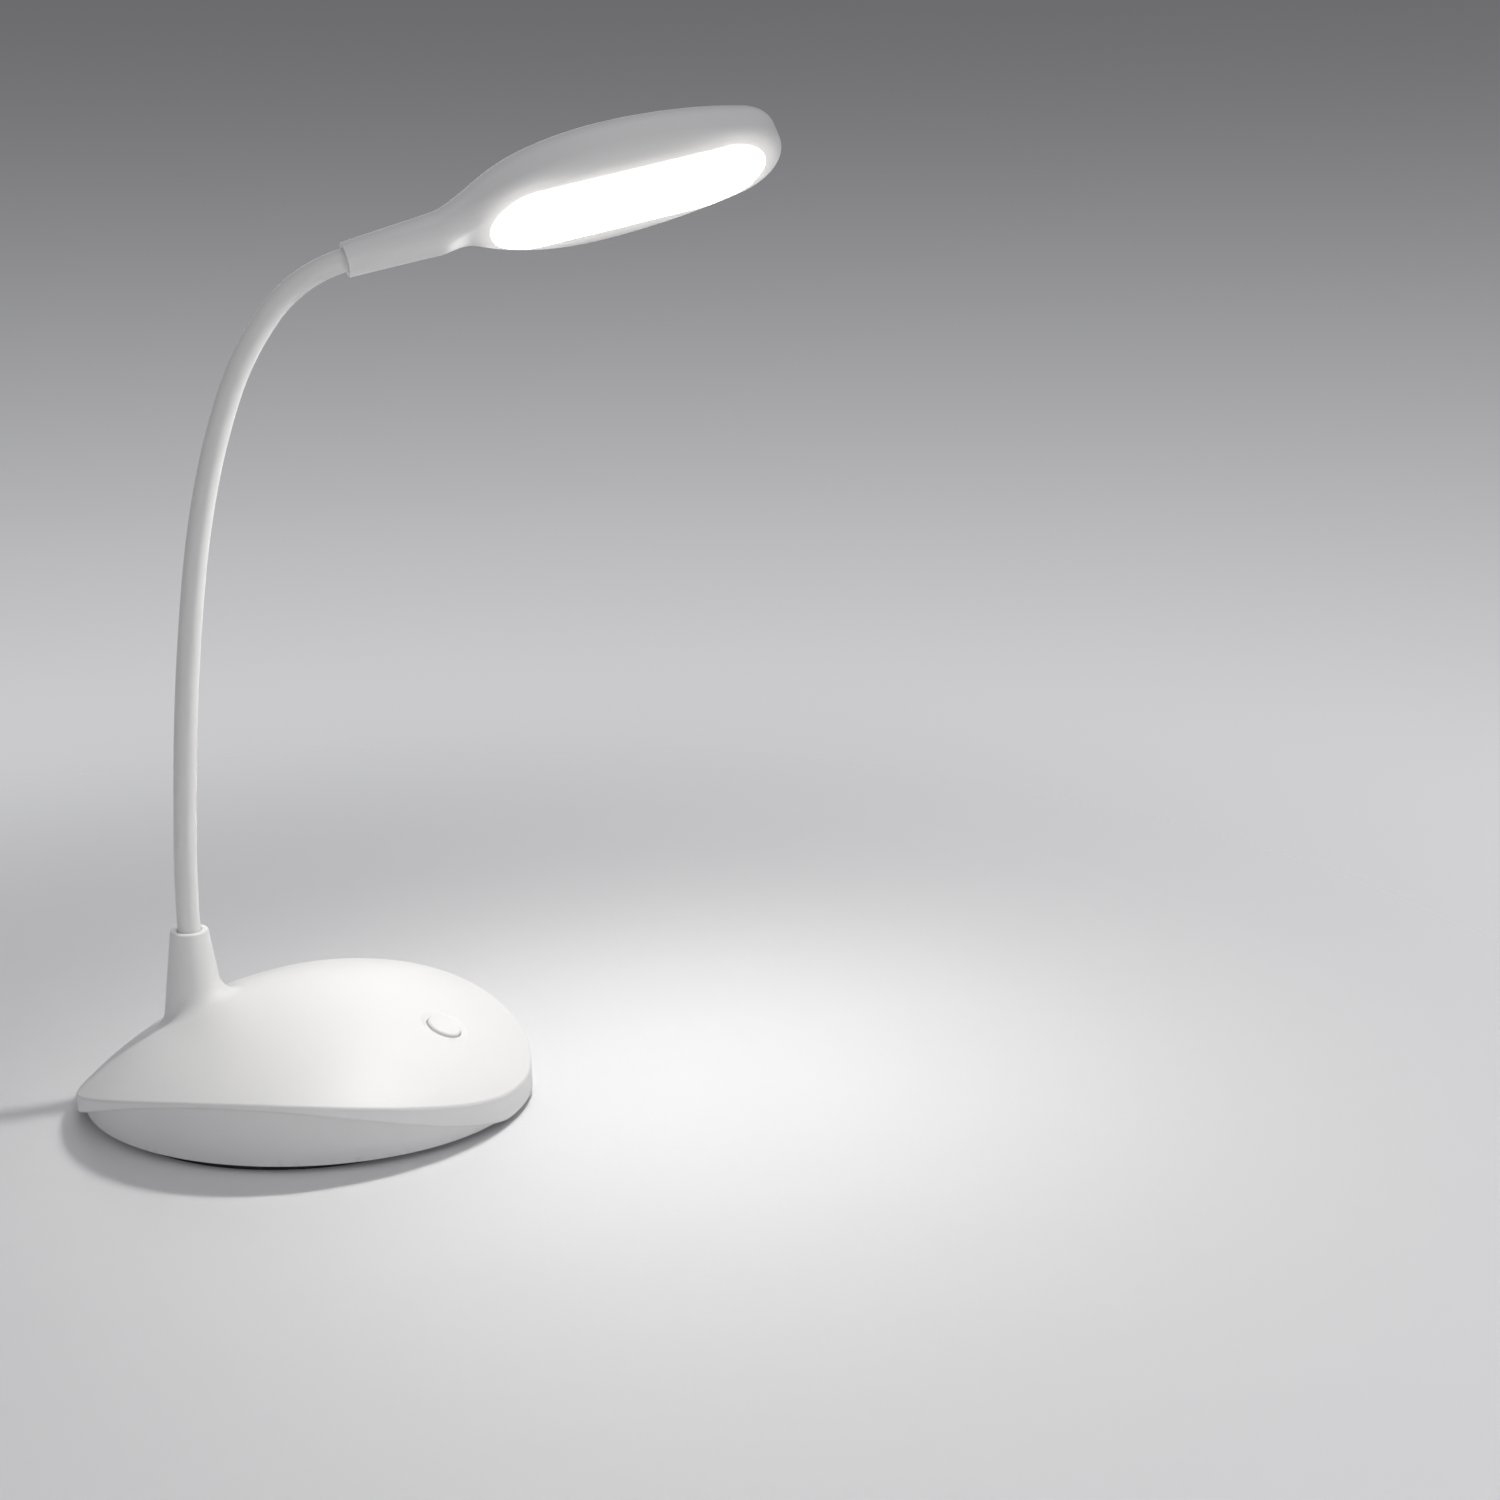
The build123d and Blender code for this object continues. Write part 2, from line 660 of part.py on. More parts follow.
# Neck retainer: plate screwed up against the ferrule
with BuildPart() as neck_retainer:
    with BuildSketch(Plane.XY.offset(retainer_foot)):
        with Locations((neck_x, 0)):
            RectangleRounded(retainer_width, retainer_length, retainer_width / 3)
            Circle(core_bore + fit, mode=Mode.SUBTRACT)
        with Locations((neck_x, retainer_screw_y), (neck_x, -retainer_screw_y)):
            Circle(screw_radius + running_gap, mode=Mode.SUBTRACT)
    extrude(amount=retainer_thickness)
neck_retainer.part.label = "neck_retainer"
export_step(neck_retainer.part, "parts/neck_retainer.step")

# Retainer screws: two, up into the cover's short posts
with BuildPart() as retainer_screws:
    with BuildSketch(Plane.XY.offset(retainer_foot - screw_head_height)):
        with Locations((neck_x, retainer_screw_y), (neck_x, -retainer_screw_y)):
            Circle(screw_head_radius)
    extrude(amount=screw_head_height)
    with BuildSketch(Plane.XY.offset(retainer_foot)):
        with Locations((neck_x, retainer_screw_y), (neck_x, -retainer_screw_y)):
            Circle(screw_radius)
    extrude(amount=retainer_thickness + short_pilot_depth - seam)
retainer_screws.part.label = "retainer_screws"
export_step(retainer_screws.part, "parts/retainer_screws.step")

# Head frame: the collar carries on along the neck, rolled about it, and the flat head dips from it
neck_end = station_plane(len(link_turns))
roll_angle = math.radians(head_roll)
tilt_angle = math.radians(head_tilt)
collar_along = neck_end.z_dir
collar_down = arm_side.cross(collar_along)
light_way = collar_down * math.cos(roll_angle) + arm_side * math.sin(roll_angle)
head_along = collar_along * math.cos(tilt_angle) + light_way * math.sin(tilt_angle)
head_up = collar_along * math.sin(tilt_angle) - light_way * math.cos(tilt_angle)
head_middle = neck_end.origin + collar_along * collar_reach + head_up * head_lift
head_plane = Plane(origin=head_middle, x_dir=head_along, z_dir=head_up)
head_side = Plane(origin=head_plane.origin, x_dir=head_along, z_dir=-head_plane.y_dir)
collar_section = Plane(origin=neck_end.origin, x_dir=collar_along, z_dir=-head_plane.y_dir)

# Head outline: collar, flare, swell, flank and tip, each an arc that carries on the last
collar_radius = collar_diameter / 2
throat_radius = 5.6
throat_x = -2.5
flare_radius = 24.0
window_back = 13.6
window_border = 6.5
widest_share = 0.431
tip_radius_share = 0.35
collar_x = -collar_reach * math.cos(tilt_angle)
collar_v = -collar_reach * math.sin(tilt_angle) - head_lift
throat_v = throat_x * math.tan(tilt_angle) - head_lift
widest_x = window_back + window_length * widest_share
tip_x = window_back + window_length + window_border
tip_radius = head_width * tip_radius_share
strip_angle = math.degrees(math.atan2(throat_radius - collar_radius, throat_x - collar_x))
strip_sine = math.sin(math.radians(strip_angle))
strip_cosine = math.cos(math.radians(strip_angle))
flare_rise = head_width / 2 - throat_radius + flare_radius * (1 - strip_cosine)
flare_angle = 2 * math.degrees(math.atan2(flare_rise, widest_x - throat_x + flare_radius * strip_sine))
swell_radius = flare_rise / (1 - math.cos(math.radians(flare_angle))) - flare_radius
flank_drop = head_width / 2 - tip_radius
flank_angle = 2 * math.degrees(math.atan2(flank_drop, tip_x - tip_radius - widest_x))
flank_radius = tip_radius + flank_drop / (1 - math.cos(math.radians(flank_angle)))
tip_crown = 7.9
head_margin = 4.0
head_edge_round = 4.5
strip_rise = throat_v + throat_radius - collar_v - collar_radius
strip_slope = math.degrees(math.atan2(strip_rise, throat_x - collar_x))
rise_angle = 17.5
rise_start_radius = 34.0
keel_end = 11.0


def head_block(side_inset, skin):
    """The head's whole outside, or the same form drawn in at its sides and at top and bottom."""
    far_x = tip_x + head_margin
    lift = rise_start_radius * (math.cos(math.radians(strip_slope)) - math.cos(math.radians(rise_angle)))
    rise_radius = (head_crown - throat_v - throat_radius - lift) / (1 - math.cos(math.radians(rise_angle)))
    with BuildPart() as block:
        with BuildSketch(head_plane.offset(-2 * head_floor)):
            with BuildLine():
                strip = Line((collar_x, collar_radius), (throat_x, throat_radius))
                flare = JernArc(strip @ 1, strip % 1, flare_radius, flare_angle - strip_angle)
                swell = JernArc(flare @ 1, flare % 1, swell_radius, -flare_angle)
                flank = JernArc(swell @ 1, swell % 1, flank_radius, -flank_angle)
                JernArc(flank @ 1, flank % 1, tip_radius, flank_angle - 90)
                mirror(about=Plane.XZ)
                Line((collar_x, collar_radius), (collar_x, -collar_radius))
            make_face()
            if side_inset:
                offset(amount=-side_inset, mode=Mode.REPLACE)
        extrude(amount=4 * head_crown)
        with BuildSketch(head_side):
            with BuildLine():
                collar_top = collar_v + collar_radius - skin
                throat_top = throat_v + throat_radius - skin
                top = Line((collar_x, collar_top), (throat_x, throat_top))
                bend = JernArc(top @ 1, top % 1, rise_start_radius, rise_angle - strip_slope)
                rise = JernArc(bend @ 1, bend % 1, rise_radius, -rise_angle)
                crown = TangentArc(rise @ 1, (far_x, tip_crown - skin), tangent=rise % 1)
                collar_bottom = (collar_x, collar_v - collar_radius + skin)
                throat_bottom = (throat_x, throat_v - throat_radius + skin)
                bottom = Line(collar_bottom, throat_bottom)
                keel = Spline(throat_bottom, (keel_end, skin - head_floor), tangents=(bottom % 1, (1, 0)))
                Polyline(keel @ 1, (far_x, skin - head_floor), crown @ 1)
                Line(collar_bottom, top @ 0)
            make_face()
        extrude(amount=head_width, both=True, mode=Mode.INTERSECT)
    return block.part


# Rounded outside of the head, before it is parted
with BuildPart() as head_form:
    add(head_block(0, 0))
    rounded = head_form.edges().filter_by(
        lambda edge: head_plane.to_local_coords(edge.center()).X > collar_x + seam
        and abs((edge % 0).dot(head_up)) < math.sin(math.radians(2 * rise_angle))
        and abs((edge % 0).dot(head_plane.y_dir)) < 1 - seam
    )
    fillet(rounded, head_edge_round)

# The parting runs along the collar's axis, climbs in the throat and then runs flat round the head
parting_v = 0.9
parting_bend = 20.0
with BuildPart() as above_parting:
    with BuildSketch(head_side):
        with BuildLine():
            Polyline(
                (collar_x - head_margin, collar_v - head_margin * math.tan(tilt_angle)),
                (throat_x, throat_v),
                (parting_bend, parting_v),
                (tip_x + head_margin, parting_v),
                (tip_x + head_margin, 2 * head_crown),
                (collar_x - head_margin, 2 * head_crown),
                close=True,
            )
        make_face()
    extrude(amount=head_width, both=True)

# Channel for the neck's end: sleeve bore, rib, ferrule pocket and lead way
pocket_radius = sleeve_radius + seam / 2
rib_bore = core_radius + fit
lead_bore = core_bore + seam
pocket_start = sleeve_tail + seam + rib_thickness
pocket_end = pocket_start + ferrule_length + 2 * seam
channel_end = collar_reach + head_floor
with BuildPart() as neck_channel:
    with BuildSketch(collar_section):
        with BuildLine():
            Polyline(
                (-head_margin, 0),
                (-head_margin, bore_radius),
                (sleeve_tail + seam, bore_radius),
                (sleeve_tail + seam, rib_bore),
                (pocket_start, rib_bore),
                (pocket_start, pocket_radius),
                (pocket_end, pocket_radius),
                (pocket_end, lead_bore),
                (channel_end, lead_bore),
                (channel_end, 0),
                close=True,
            )
        make_face()
    revolve(axis=Axis(collar_section.origin, collar_along))

# Hollow of the head, in front of the collar
head_wall = 2.0
cavity_back = 4.0
with BuildPart() as head_cavity:
    add(head_block(head_wall, head_wall))
    with BuildSketch(head_side):
        with Locations((cavity_back + 2 * head_width, 0)):
            Rectangle(4 * head_width, 4 * head_crown)
    extrude(amount=head_width, both=True, mode=Mode.INTERSECT)

# Head shell: the crowned upper half, with the upper half of the collar
with BuildPart() as head_shell:
    add(head_form.part)
    add(above_parting.part, mode=Mode.INTERSECT)
    add(head_cavity.part, mode=Mode.SUBTRACT)
    add(neck_channel.part, mode=Mode.SUBTRACT)
head_shell.part.label = "head_shell"
export_step(head_shell.part, "parts/head_shell.step")

# Head bezel: the lower half, with a ledge for the light board and the window's opening
board_v = -0.5
ledge_width = 1.4
window_x = window_back + window_length / 2
with BuildPart() as below_ledge:
    add(head_block(head_wall + ledge_width, head_wall))
    with BuildSketch(head_side):
        with Locations((cavity_back + 2 * head_width, board_v - 2 * head_crown)):
            Rectangle(4 * head_width, 4 * head_crown)
    extrude(amount=head_width, both=True, mode=Mode.INTERSECT)

with BuildPart() as above_ledge:
    add(head_cavity.part)
    with BuildSketch(head_side):
        with Locations((cavity_back + 2 * head_width, board_v + 2 * head_crown)):
            Rectangle(4 * head_width, 4 * head_crown)
    extrude(amount=head_width, both=True, mode=Mode.INTERSECT)

with BuildPart() as head_bezel:
    add(head_form.part)
    add(above_parting.part, mode=Mode.SUBTRACT)
    add(above_ledge.part, mode=Mode.SUBTRACT)
    add(below_ledge.part, mode=Mode.SUBTRACT)
    add(neck_channel.part, mode=Mode.SUBTRACT)
    with BuildSketch(head_plane.offset(-head_floor)):
        with Locations((window_x, 0)):
            SlotOverall(window_length, window_width)
    extrude(amount=2 * head_wall, both=True, mode=Mode.SUBTRACT)
head_bezel.part.label = "head_bezel"
export_step(head_bezel.part, "parts/head_bezel.step")

# Diffuser: milky pane that fills the window, with a flange behind the bezel
pane_recess = 0.3
pane_flange = 1.5
pane_flange_thickness = 1.2
with BuildPart() as diffuser:
    with BuildSketch(head_plane.offset(head_wall - head_floor)):
        with Locations((window_x, 0)):
            SlotOverall(window_length + 2 * pane_flange, window_width + 2 * pane_flange)
    extrude(amount=pane_flange_thickness)
    add(head_block(head_wall + ledge_width + seam, 0), mode=Mode.INTERSECT)
    with BuildSketch(head_plane.offset(pane_recess - head_floor)):
        with Locations((window_x, 0)):
            SlotOverall(window_length - 2 * fit, window_width - 2 * fit)
    extrude(amount=head_wall - pane_recess)
diffuser.part.label = "diffuser"
export_step(diffuser.part, "parts/diffuser.step")

# Light board: metal-backed board lying on the bezel's ledge
light_board_thickness = 1.2
light_board_back = 10.0
with BuildPart() as light_board:
    add(head_block(head_wall + seam, 0))
    with BuildSketch(head_side):
        with Locations((light_board_back + 2 * head_width, board_v + light_board_thickness / 2)):
            Rectangle(4 * head_width, light_board_thickness)
    extrude(amount=head_width, both=True, mode=Mode.INTERSECT)
light_board.part.label = "light_board"
export_step(light_board.part, "parts/light_board.step")

# Light chips: two rows of seven under the light board
chip_length = 3.5
chip_width = 2.8
chip_height = 0.8
chip_rows = 2
chips_in_row = 7
chip_pitch = window_length / (chips_in_row + 1)
chip_row_pitch = window_width / (chip_rows + 1)
with BuildPart() as light_chips:
    with BuildSketch(head_plane.offset(board_v - chip_height)):
        with Locations((window_x, 0)):
            with GridLocations(chip_pitch, chip_row_pitch, chips_in_row, chip_rows):
                Rectangle(chip_length, chip_width)
    extrude(amount=chip_height)
light_chips.part.label = "light_chips"
export_step(light_chips.part, "parts/light_chips.step")

# Head ferrule: crimped on the core's end and trapped between the head's halves
ferrule_start = neck_end.origin + collar_along * (pocket_start + seam)
with BuildPart() as head_ferrule:
    with BuildSketch(Plane(origin=ferrule_start, z_dir=collar_along)):
        Circle(pocket_radius - fit)
        Circle(core_radius + layer_gap, mode=Mode.SUBTRACT)
    extrude(amount=ferrule_length)
head_ferrule.part.label = "head_ferrule"
export_step(head_ferrule.part, "parts/head_ferrule.step")


# Sizes worth knowing for the joints and mounts
def rounded_list(vector):
    """A vector's three values, rounded for printing."""
    return [round(value, 5) for value in vector]


for number in link_numbers[1:]:
    place = station_plane(number - 1)
    print("joint", number, rounded_list(place.origin), rounded_list(place.z_dir))
print("arm side", rounded_list(arm_side))
print("key", rounded_list(key_plane.origin), rounded_list(key_plane.z_dir))
print("inlet mouth", round(inlet_mouth, 3), round(inlet_foot + inlet_height / 2, 3))
print("head origin", rounded_list(head_plane.origin))
print("head along", rounded_list(head_along), "up", rounded_list(head_up))
print("head length", round(tip_x - collar_x, 2), "window middle", round(window_x, 2))
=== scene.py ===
import bpy
import math
from mathutils import Matrix, Vector


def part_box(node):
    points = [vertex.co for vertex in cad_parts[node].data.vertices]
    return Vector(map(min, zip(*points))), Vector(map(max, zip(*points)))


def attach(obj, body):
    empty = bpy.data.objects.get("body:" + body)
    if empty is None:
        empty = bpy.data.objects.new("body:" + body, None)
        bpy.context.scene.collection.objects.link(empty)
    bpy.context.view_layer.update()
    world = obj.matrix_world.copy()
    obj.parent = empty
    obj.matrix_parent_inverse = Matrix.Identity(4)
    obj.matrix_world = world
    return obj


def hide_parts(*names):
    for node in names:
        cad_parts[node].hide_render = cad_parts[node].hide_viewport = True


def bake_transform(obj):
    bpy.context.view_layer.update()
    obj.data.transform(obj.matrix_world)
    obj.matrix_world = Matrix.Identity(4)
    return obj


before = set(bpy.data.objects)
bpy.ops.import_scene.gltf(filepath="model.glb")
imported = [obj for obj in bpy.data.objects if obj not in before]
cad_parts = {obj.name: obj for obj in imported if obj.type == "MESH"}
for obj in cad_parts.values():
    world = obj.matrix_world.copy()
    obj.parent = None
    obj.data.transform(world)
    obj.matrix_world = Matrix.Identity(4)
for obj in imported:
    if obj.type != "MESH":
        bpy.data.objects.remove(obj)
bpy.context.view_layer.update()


# Base tray: the lower half of the base, one injection moulding in white ABS with a fine satin
# spark finish. Its wall leans in towards the foot, and its upper edge follows the base's arch.
# It is screwed up to the cover from below, and its foot is where a desk lamp gets scuffed. Its top edge
# is darkened along the seam under the cover, partly dust and partly painted shade.
class Reading:
    """One socket of a material. Sums, products and powers of readings become Math nodes."""

    def __init__(self, socket):
        self.socket = socket

    def node(self, kind, settings, sockets, output=0):
        """Add a node: its settings first, then the values or links of its sockets."""
        tree = self.socket.id_data
        made = tree.nodes.new(kind)
        for setting, value in settings.items():
            setattr(made, setting, value)
        for key, value in sockets.items():
            if isinstance(value, Reading):
                tree.links.new(value.socket, made.inputs[key])
            else:
                made.inputs[key].default_value = value
        return Reading(made.outputs[output])

    def maths(self, operation, *values):
        return self.node("ShaderNodeMath", {"operation": operation}, dict(enumerate(values)))

    def __add__(self, other):
        return self.maths("ADD", self, other)

    def __sub__(self, other):
        return self.maths("SUBTRACT", self, other)

    def __rsub__(self, other):
        return self.maths("SUBTRACT", other, self)

    def __mul__(self, other):
        return self.maths("MULTIPLY", self, other)

    def __truediv__(self, other):
        return self.maths("DIVIDE", self, other)

    def __rtruediv__(self, other):
        return self.maths("DIVIDE", other, self)

    def __pow__(self, other):
        return self.maths("POWER", self, other)

    def __rpow__(self, other):
        return self.maths("POWER", other, self)

    def __abs__(self):
        return self.maths("ABSOLUTE", self)

    __radd__ = __add__
    __rmul__ = __mul__

    def at_least(self, low):
        return self.maths("MAXIMUM", self, low)

    def wave(self, pitch):
        """A sine wave along this number, with one crest in each pitch."""
        return self.maths("SINE", self * (2 * math.pi / pitch))

    def axis(self, letter):
        return self.node("ShaderNodeSeparateXYZ", {}, {0: self}, letter)

    def stretched(self, scale, turn=(0.0, 0.0, 0.0)):
        """This place scaled along each axis and then turned, so that grain on it runs in lines."""
        return self.node("ShaderNodeMapping", {}, {"Vector": self, "Scale": scale, "Rotation": turn})

    def grain(self, per_metre, detail):
        """Random relief from 0 to 1, with this many bumps to the metre."""
        sockets = {"Vector": self, "Scale": per_metre, "Detail": detail}
        return self.node("ShaderNodeTexNoise", {}, sockets)

    def between(self, low, high):
        """0 below low, 1 above high, smooth in between."""
        sockets = {"Value": self, "From Min": low, "From Max": high}
        return self.node("ShaderNodeMapRange", {"interpolation_type": "SMOOTHSTEP"}, sockets)

    def tint(self, first, second):
        """A colour that goes from the first to the second as this number goes from 0 to 1."""
        # A Mix node's colours are its inputs 6 and 7 and its output 2.
        return self.node("ShaderNodeMix", {"data_type": "RGBA"}, {0: self, 6: first, 7: second}, 2)

    def relief(self, depth, strength):
        """A surface normal for this number taken as a height, with depth metres from 0 to 1."""
        sockets = {"Height": self, "Distance": depth, "Strength": strength}
        return self.node("ShaderNodeBump", {}, sockets, "Normal")


def new_finish(name, **constants):
    """A material, its shader and its place on the object. Constants go on the shader's own sockets."""
    material = bpy.data.materials.new(name)
    material.use_nodes = True
    shader = material.node_tree.nodes["Principled BSDF"]
    for socket, value in constants.items():
        shader.inputs[socket.replace("_", " ")].default_value = value
    place = Reading(material.node_tree.nodes.new("ShaderNodeTexCoord").outputs["Object"])
    return material, shader, place


def feed(shader, **readings):
    """Link readings to the shader's sockets of the same names."""
    for socket, reading in readings.items():
        shader.id_data.links.new(reading.socket, shader.inputs[socket.replace("_", " ")])


def dress(material, *nodes):
    """Give CAD nodes a material in place of the plain one that they come with."""
    for node in nodes:
        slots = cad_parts[node].data.materials
        slots.clear()
        slots.append(material)


arch_middle_x = 0.00264
arch_middle_z = -0.09501
arch_radius = 0.11501


def below_arch(place):
    """How far a point of the base lies below the arched parting line, in metres."""
    across = place.axis("X") - arch_middle_x
    return arch_middle_z + (arch_radius**2 - across * across) ** 0.5 - place.axis("Z")


wall_foot = 0.0021
scuff_top = 0.0044
seam_edge = 0.0001
seam_shade_reach = 0.0011
seam_shade_share = 0.4
scuff_share = 0.22
satin_clouded = (0.74, 0.74, 0.745, 1)
satin_white = (0.79, 0.79, 0.785, 1)
grime_and_seam_shade = (0.42, 0.40, 0.37, 1)
tray_finish, shader, place = new_finish("tray_satin_white", IOR=1.52)
spark = place.grain(per_metre=2600, detail=3.0)
cloud = place.grain(per_metre=38, detail=4.0)
near_foot = 1 - place.axis("Z").between(wall_foot, scuff_top)
scuff = near_foot * place.grain(per_metre=420, detail=5.0).between(0.5, 0.7)
# Darker band along the seam under the cover's lip: partly dust, partly painted shade where the lip
# overhangs.
seam_dust_and_shade = 1 - below_arch(place).between(seam_edge, seam_shade_reach)
soil_and_seam_shade = seam_dust_and_shade * seam_shade_share * place.grain(per_metre=150, detail=3.0) + scuff * scuff_share
feed(
    shader,
    Base_Color=soil_and_seam_shade.tint(cloud.tint(satin_clouded, satin_white), grime_and_seam_shade),
    Roughness=0.34 + cloud * 0.14 + scuff * 0.2,
    Normal=spark.relief(depth=0.00003, strength=0.5),
)
dress(tray_finish, "base_tray")


# Foot pad: one oval of black rubber, moulded with a pebbled face and glued into the tray's recess.
# It is all that touches the table, and it picks up pale dust.
rubber_black = (0.012, 0.012, 0.013, 1)
rubber_dusty = (0.16, 0.155, 0.15, 1)
pebbles_per_metre = 1100.0
pad_finish, shader, place = new_finish("pad_black_rubber", IOR=1.5)
pebble = place.node(
    "ShaderNodeTexVoronoi", {"feature": "SMOOTH_F1"}, {"Vector": place, "Scale": pebbles_per_metre}
)
dust = place.grain(per_metre=240, detail=5.0).between(0.5, 0.75)
feed(
    shader,
    Base_Color=(dust * 0.35).tint(rubber_black, rubber_dusty),
    Roughness=0.72 + dust * 0.2,
    Normal=pebble.relief(depth=0.00012, strength=0.7),
)
dress(pad_finish, "foot_pad")


# Ballast plate: an oval blanked from steel plate and zinc plated, lying loose in the tray's fence.
# Plating shows fine rolling lines along the sheet and soft rainbow stains.
zinc_blue = (0.46, 0.48, 0.52, 1)
zinc_straw = (0.66, 0.65, 0.60, 1)
ballast_finish, shader, place = new_finish("ballast_zinc_plate", Metallic=1.0)
rolling = place.stretched(scale=(0.05, 1.0, 1.0)).grain(per_metre=1800, detail=3.0)
stain = place.grain(per_metre=60, detail=3.0)
feed(
    shader,
    Base_Color=stain.tint(zinc_blue, zinc_straw),
    Roughness=0.3 + rolling * 0.25,
    Normal=rolling.relief(depth=0.00002, strength=0.4),
)
dress(ballast_finish, "ballast_plate")


# Battery cell: a flat lithium pouch, heat-sealed in silvery laminate foil that wrinkles as it is
# drawn tight, and stuck to the ballast plate.
foil_dull = (0.55, 0.56, 0.58, 1)
foil_bright = (0.74, 0.74, 0.75, 1)
foil_finish, shader, place = new_finish("cell_foil", Metallic=0.9)
wrinkle = place.grain(per_metre=140, detail=4.0)
feed(
    shader,
    Base_Color=wrinkle.tint(foil_dull, foil_bright),
    Roughness=0.28 + place.grain(per_metre=90, detail=2.0) * 0.16,
    Normal=wrinkle.relief(depth=0.0003, strength=0.5),
)
dress(foil_finish, "battery_cell")


# Driver board and switch board: glass-fibre laminate under green solder mask, with copper runs that
# show through as paler lines. Each hangs or stands on two moulded posts.
mask_green = (0.012, 0.085, 0.035, 1)
run_green = (0.04, 0.2, 0.075, 1)
board_finish, shader, place = new_finish(
    "board_green_mask", IOR=1.55, Coat_Weight=0.4, Coat_Roughness=0.12
)
runs = place.node(
    "ShaderNodeTexBrick",
    {"offset": 0.35, "squash": 1.6},
    {"Vector": place, "Scale": 260.0, "Mortar Size": 0.09, "Brick Width": 0.9, "Row Height": 0.4},
    "Fac",
)
weave = place.grain(per_metre=3200, detail=1.0)
feed(
    shader,
    Base_Color=runs.tint(mask_green, run_green),
    Roughness=0.3 + weave * 0.12,
    Normal=(runs + weave * 0.2).relief(depth=0.00004, strength=0.6),
)
dress(board_finish, "driver_board", "switch_board")


# Charging socket: a shell drawn from thin steel, soldered to the driver board with its mouth in the
# tray's far wall. In it stands a black tongue with a row of gold contacts.
inlet_low, inlet_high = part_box("charging_socket")
inlet_height = (inlet_low[2] + inlet_high[2]) / 2
tongue_half_width = 0.0029
tongue_half_height = 0.00039
tongue_edge = 0.00002
contact_pitch = 0.001
steel_dull = (0.52, 0.52, 0.53, 1)
steel_bright = (0.70, 0.70, 0.71, 1)
tongue_black = (0.015, 0.015, 0.016, 1)
contact_gold = (0.83, 0.62, 0.25, 1)


def within(distance, half_size, edge):
    """1 where a distance is less than half a size, 0 beyond it, with a soft edge."""
    return 1 - abs(distance).between(half_size - edge, half_size + edge)


inlet_finish, shader, place = new_finish("inlet_drawn_steel", IOR=1.5)
tongue_across = within(place.axis("X"), tongue_half_width, tongue_edge)
tongue_through = within(place.axis("Z") - inlet_height, tongue_half_height, tongue_edge)
tongue = tongue_across * tongue_through
contact = tongue * place.axis("X").wave(contact_pitch).between(0.1, 0.3)
drawn = place.stretched(scale=(1.0, 0.08, 1.0)).grain(per_metre=2400, detail=2.0)
plain = tongue.tint(drawn.tint(steel_dull, steel_bright), tongue_black)
feed(
    shader,
    Base_Color=contact.tint(plain, contact_gold),
    Metallic=1 - tongue * (1 - contact),
    Roughness=0.26 + drawn * 0.16,
    Normal=drawn.relief(depth=0.00002, strength=0.4),
)
dress(inlet_finish, "charging_socket")


# Base cover: the upper half of the base, a crowned oval moulding in glossy white ABS, with the
# neck's socket and the dish round the key formed in it. Its polished skin has a faint orange peel,
# hand marks where it is held, and a thin darker line where it meets the tray, partly dust and partly
# painted shade under the lip.
gloss_clouded = (0.80, 0.80, 0.80, 1)
gloss_white = (0.83, 0.83, 0.825, 1)
lip_grime_and_shade = (0.45, 0.43, 0.40, 1)
lip_shade_reach = 0.0007
lip_shade_share = 0.5


def gloss_finish(name, **constants):
    """Polished white ABS: clear gloss with hand marks, slow clouding and a faint orange peel."""
    material, shader, place = new_finish(name, IOR=1.53, **constants)
    peel = place.grain(per_metre=520, detail=2.0)
    cloud = place.grain(per_metre=24, detail=3.0)
    smear = place.grain(per_metre=90, detail=5.0).between(0.4, 0.8)
    hand_marks = smear * place.grain(per_metre=16, detail=2.0).between(0.35, 0.75)
    hairline = place.stretched(scale=(0.04, 1.0, 1.0), turn=(0.3, 0.5, 0.8))
    scratch = hairline.grain(per_metre=2600, detail=1.0).between(0.66, 0.74)
    feed(
        shader,
        Roughness=0.48 + hand_marks * 0.07 + cloud * 0.06 + scratch * 0.04,
        Normal=(peel + scratch * 0.12).relief(depth=0.00003, strength=0.35),
    )
    return material, shader, place, cloud.tint(gloss_clouded, gloss_white)


cover_finish, shader, place, colour = gloss_finish("cover_gloss_white")
patchy = 0.35 + place.grain(per_metre=180, detail=4.0) * 0.65
# Darker band at the lip's lower edge: partly dust, partly painted shade where the lip meets the tray.
lip_dust_and_shade = below_arch(place).between(-lip_shade_reach, 0.0) * patchy
feed(shader, Base_Color=(lip_dust_and_shade * lip_shade_share).tint(colour, lip_grime_and_shade))
dress(cover_finish, "base_cover")


# Key and its switch: a round white cap, dished for the fingertip, whose flange keeps it under the
# cover. Its stem stands on the pin of a small black switch soldered to the switch board.
mm = 0.001
key_place = Vector((42.9, 0.0, 24.03024)) * mm
key_axis = Vector((0.42018, 0.0, 0.90744))
stem_radius = 2.0
stem_foot = -6.2
stem_break = 0.3
flange_radius = 6.6
flange_foot = -4.9
flange_top = -3.7
flange_break = 0.2
cap_radius = 5.0
cap_rim = 0.3
cap_round = 0.7
round_margin = 0.05
dish_depth = 0.55
cap_profile = [
    (0.0, stem_foot),
    (stem_radius - stem_break, stem_foot),
    (stem_radius, stem_foot + stem_break),
    (stem_radius, flange_foot),
    (flange_radius - flange_break, flange_foot),
    (flange_radius, flange_foot + flange_break),
    (flange_radius, flange_top - flange_break),
    (flange_radius - flange_break, flange_top),
    (cap_radius, flange_top),
    (cap_radius, cap_rim - cap_round - round_margin),
]
dish_radius = cap_radius - cap_round
round_steps = 6
